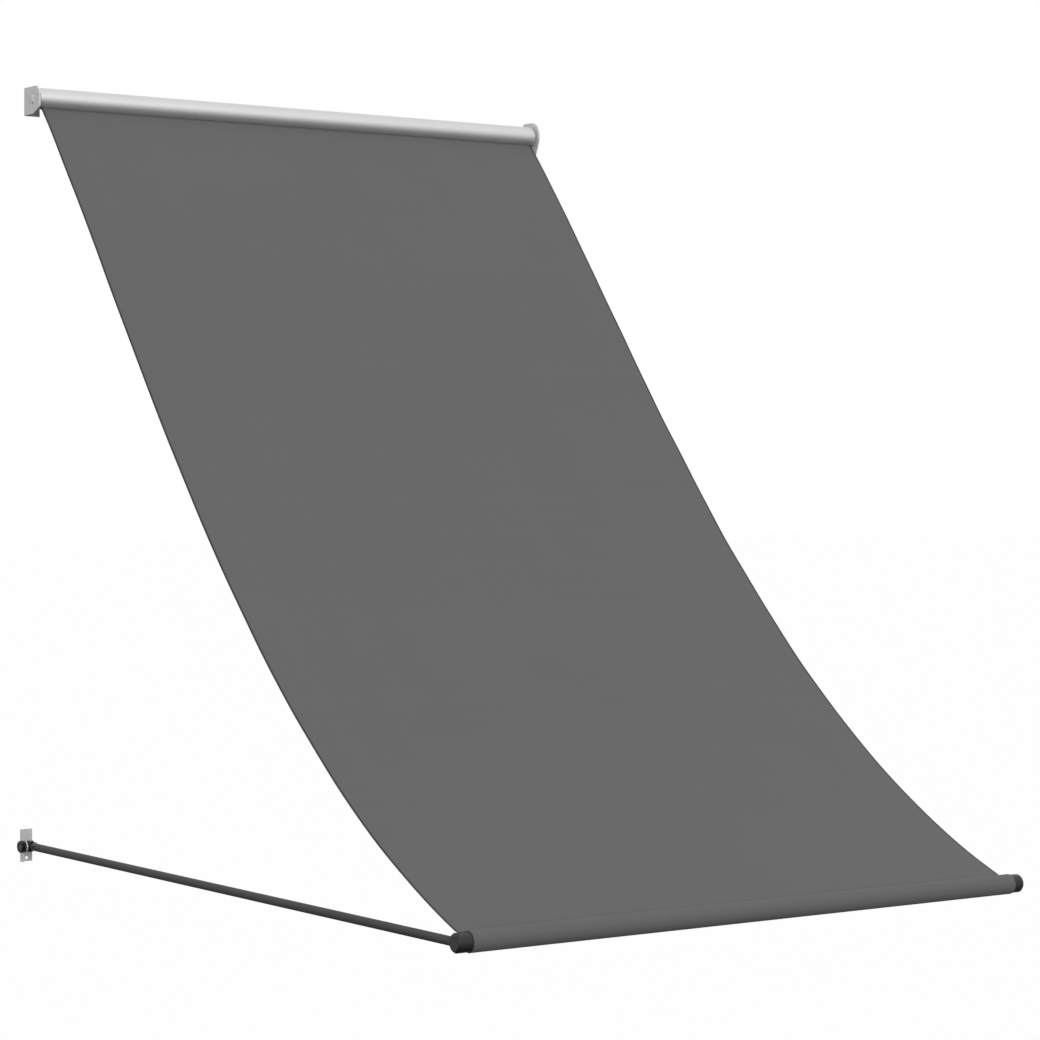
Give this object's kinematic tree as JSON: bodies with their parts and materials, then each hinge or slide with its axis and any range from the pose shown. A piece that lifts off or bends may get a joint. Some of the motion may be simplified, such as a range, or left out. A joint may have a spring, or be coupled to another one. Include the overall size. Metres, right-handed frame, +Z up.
{
  "type": "fabric awning",
  "caption": "Drop-arm fabric awning: a sprung roller on wall brackets, a sheet of cloth with a hemmed front bar, and two clamped swing arms.",
  "frame": {"origin": "on the wall plane, midway between the brackets, level with the roller's axis", "axes": "+X along the wall to the right as seen from in front, +Y into the wall, +Z up"},
  "size_m": [1.0604, 1.319, 1.3032],
  "materials": {
    "galvanised_steel": "matt galvanised sheet",
    "aluminium": "satin mill finish",
    "anthracite_coat": "fine-textured anthracite powder coat",
    "black_plastic": "moulded, slightly glossy",
    "grey_plastic": "moulded, matt light grey",
    "zinc_plated": "bright zinc plating",
    "spring_steel": "oiled spring steel",
    "awning_cloth": "plain woven polyester, matt"
  },
  "bodies": {
    "wall_side": {"upper_bracket_left": "galvanised_steel", "upper_bracket_right": "galvanised_steel", "lower_bracket_left": "galvanised_steel", "lower_bracket_right": "galvanised_steel", "spindle": "zinc_plated", "spring_collar": "zinc_plated", "roller_spring": "spring_steel", "pivot_bolt_left": "zinc_plated", "pivot_bolt_right": "zinc_plated", "pivot_washer_left": "black_plastic", "pivot_washer_right": "black_plastic", "head_washer_left": "zinc_plated", "head_washer_right": "zinc_plated", "fabric": "awning_cloth"},
    "roller": {"roller_tube": "aluminium", "bearing_plug": "grey_plastic", "idle_plug": "grey_plastic", "idle_pin": "zinc_plated", "spring_driver": "black_plastic", "keder_rod": "black_plastic"},
    "arm_frame": {"arm_left": "anthracite_coat", "arm_right": "anthracite_coat", "arm_eye_left": "black_plastic", "arm_eye_right": "black_plastic", "elbow_left": "black_plastic", "elbow_right": "black_plastic", "elbow_screw_left": "zinc_plated", "elbow_screw_right": "zinc_plated", "front_bar": "anthracite_coat"},
    "knob_left": {"clamp_knob_left": "black_plastic"},
    "knob_right": {"clamp_knob_right": "black_plastic"}
  },
  "joints": [
    {"name": "arm_swing", "type": "hinge", "parent": "wall_side", "child": "arm_frame", "pos_m": [0, -0.019, -1.25], "axis": [-1, 0, 0], "range_deg": [-1.5, 87], "deforming": ["fabric"]},
    {"name": "roller_turn", "type": "hinge", "parent": "wall_side", "child": "roller", "pos_m": [0, -0.0345, 0], "axis": [1, 0, 0], "range_deg": [-90, 4700]},
    {"name": "knob_left_turn", "type": "hinge", "parent": "wall_side", "child": "knob_left", "pos_m": [-0.5209, -0.019, -1.25], "axis": [-1, 0, 0], "range_deg": [0, 360]},
    {"name": "knob_right_turn", "type": "hinge", "parent": "wall_side", "child": "knob_right", "pos_m": [0.5209, -0.019, -1.25], "axis": [1, 0, 0], "range_deg": [0, 360]}
  ],
  "couplings": [
    {"joint": "roller_turn", "follows": "arm_swing", "ratio": 53.8}
  ]
}
